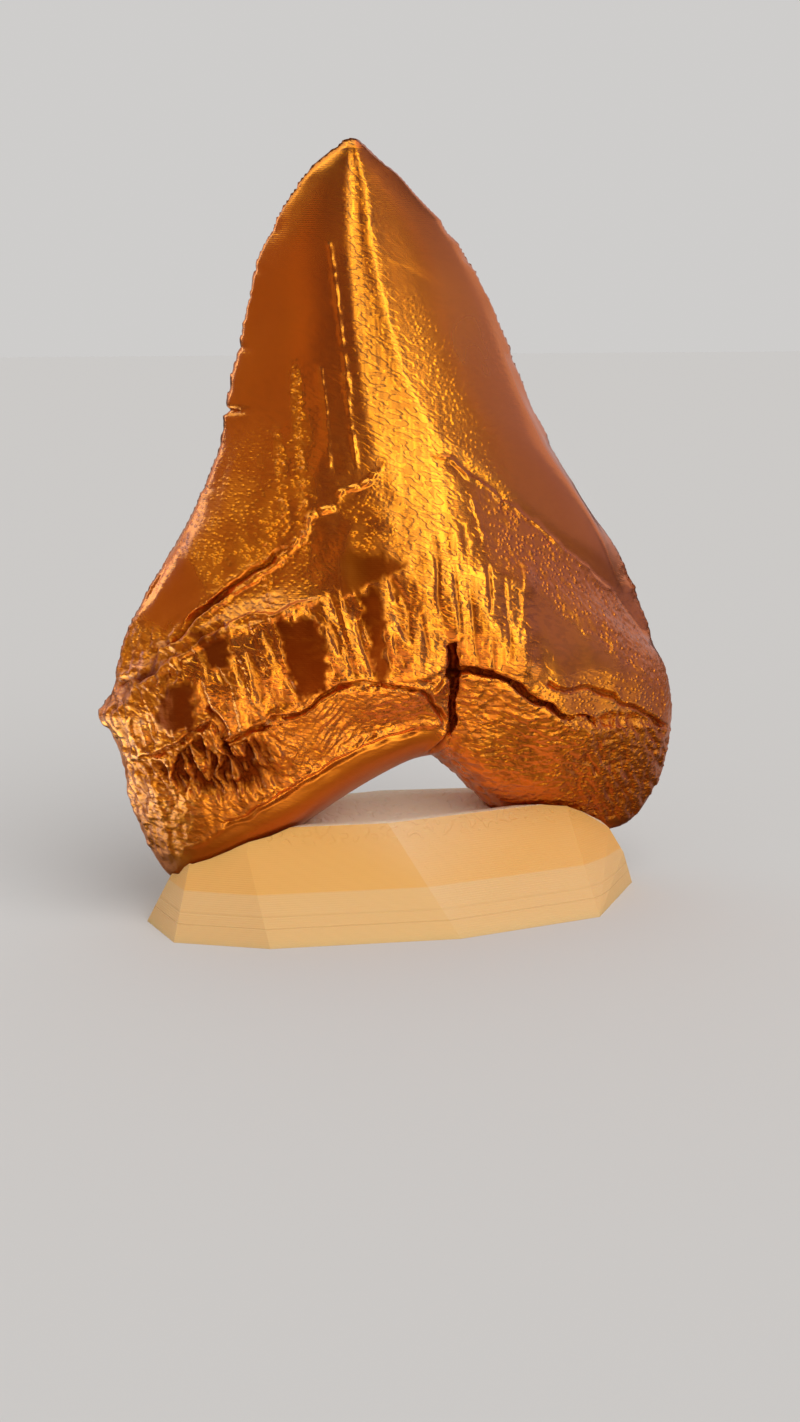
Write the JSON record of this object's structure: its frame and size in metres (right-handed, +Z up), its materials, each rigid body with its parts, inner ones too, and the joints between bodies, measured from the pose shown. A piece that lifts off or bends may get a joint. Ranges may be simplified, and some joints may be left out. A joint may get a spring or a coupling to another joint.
{
  "type": "megalodon tooth replica on a stand",
  "caption": "Full-size printed copy of a large fossil shark tooth, root down in a low faceted stand cut to the root's shape.",
  "frame": {"origin": "middle of the stand's flat underside", "axes": "+Z up to the tooth's tip, -Y towards the front where the root bulges, +X to the viewer's right"},
  "size_m": [0.0984, 0.042, 0.124],
  "materials": {
    "silk_copper_plastic": "printed silk copper plastic with a metallic sheen and fine level layer lines",
    "ivory_plastic": "printed ivory plastic, slightly translucent, satin, with fine level layer lines"
  },
  "bodies": {
    "root": {"megalodon_tooth": "silk_copper_plastic", "faceted_stand": "ivory_plastic"}
  },
  "joints": []
}
